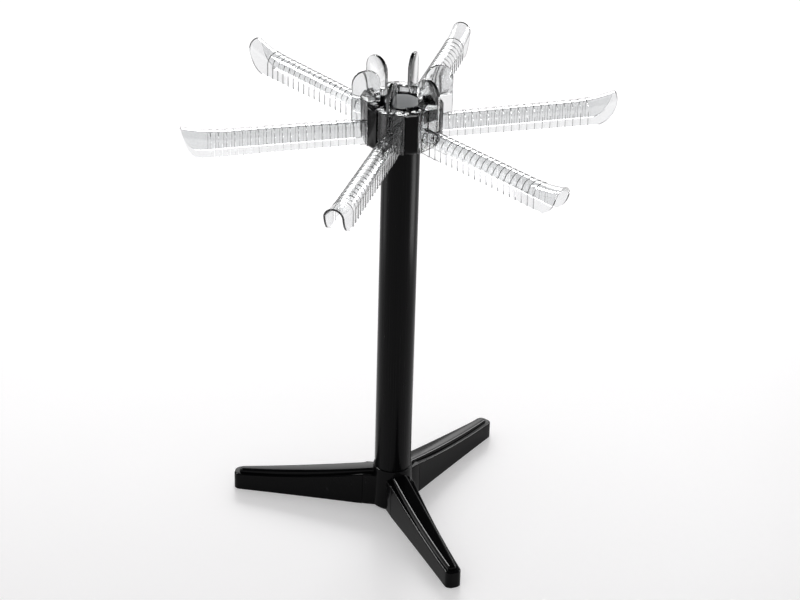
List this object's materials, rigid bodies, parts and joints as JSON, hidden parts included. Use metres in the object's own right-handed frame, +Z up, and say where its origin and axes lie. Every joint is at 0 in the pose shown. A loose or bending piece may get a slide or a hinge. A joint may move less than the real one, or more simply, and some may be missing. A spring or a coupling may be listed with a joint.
{
  "type": "pasta drying rack",
  "caption": "Table-top pasta drying rack: a tripod foot with a tall column and a turning hub that holds clear ribbed arms, each lifting out by its finger tab.",
  "frame": {"origin": "on the column's axis, on the surface that the rack stands on", "axes": "+Z up along the column; one leg points along -X and the other two towards +Y and -Y on the +X side"},
  "size_m": [0.3784, 0.397, 0.463],
  "materials": {
    "black_gloss": "glossy moulded black plastic",
    "black_tube": "drawn aluminium tube, satin black outside, bare inside",
    "black_hub": "glossy moulded black plastic",
    "clear_arm": "clear moulded plastic"
  },
  "bodies": {
    "stand": {"base_boss": "black_gloss", "leg_back": "black_gloss", "leg_left": "black_gloss", "leg_front": "black_gloss", "column": "black_tube"},
    "hub": {"hub": "black_hub"},
    "arm_1": {"arm_1": "clear_arm"},
    "arm_2": {"arm_2": "clear_arm"},
    "arm_3": {"arm_3": "clear_arm"},
    "arm_4": {"arm_4": "clear_arm"},
    "arm_5": {"arm_5": "clear_arm"},
    "arm_6": {"arm_6": "clear_arm"}
  },
  "joints": [
    {"name": "hub_turn", "type": "hinge", "parent": "stand", "child": "hub", "pos_m": [0, 0, 0.3915], "axis": [0, 0, 1], "continuous": true},
    {"name": "arm_1_lift", "type": "slide", "parent": "hub", "child": "arm_1", "axis": [0, 0, 1], "range_m": [0, 0.045]},
    {"name": "arm_2_lift", "type": "slide", "parent": "hub", "child": "arm_2", "axis": [0, 0, 1], "range_m": [0, 0.045]},
    {"name": "arm_3_lift", "type": "slide", "parent": "hub", "child": "arm_3", "axis": [0, 0, 1], "range_m": [0, 0.045]},
    {"name": "arm_4_lift", "type": "slide", "parent": "hub", "child": "arm_4", "axis": [0, 0, 1], "range_m": [0, 0.045]},
    {"name": "arm_5_lift", "type": "slide", "parent": "hub", "child": "arm_5", "axis": [0, 0, 1], "range_m": [0, 0.045]},
    {"name": "arm_6_lift", "type": "slide", "parent": "hub", "child": "arm_6", "axis": [0, 0, 1], "range_m": [0, 0.045]}
  ]
}
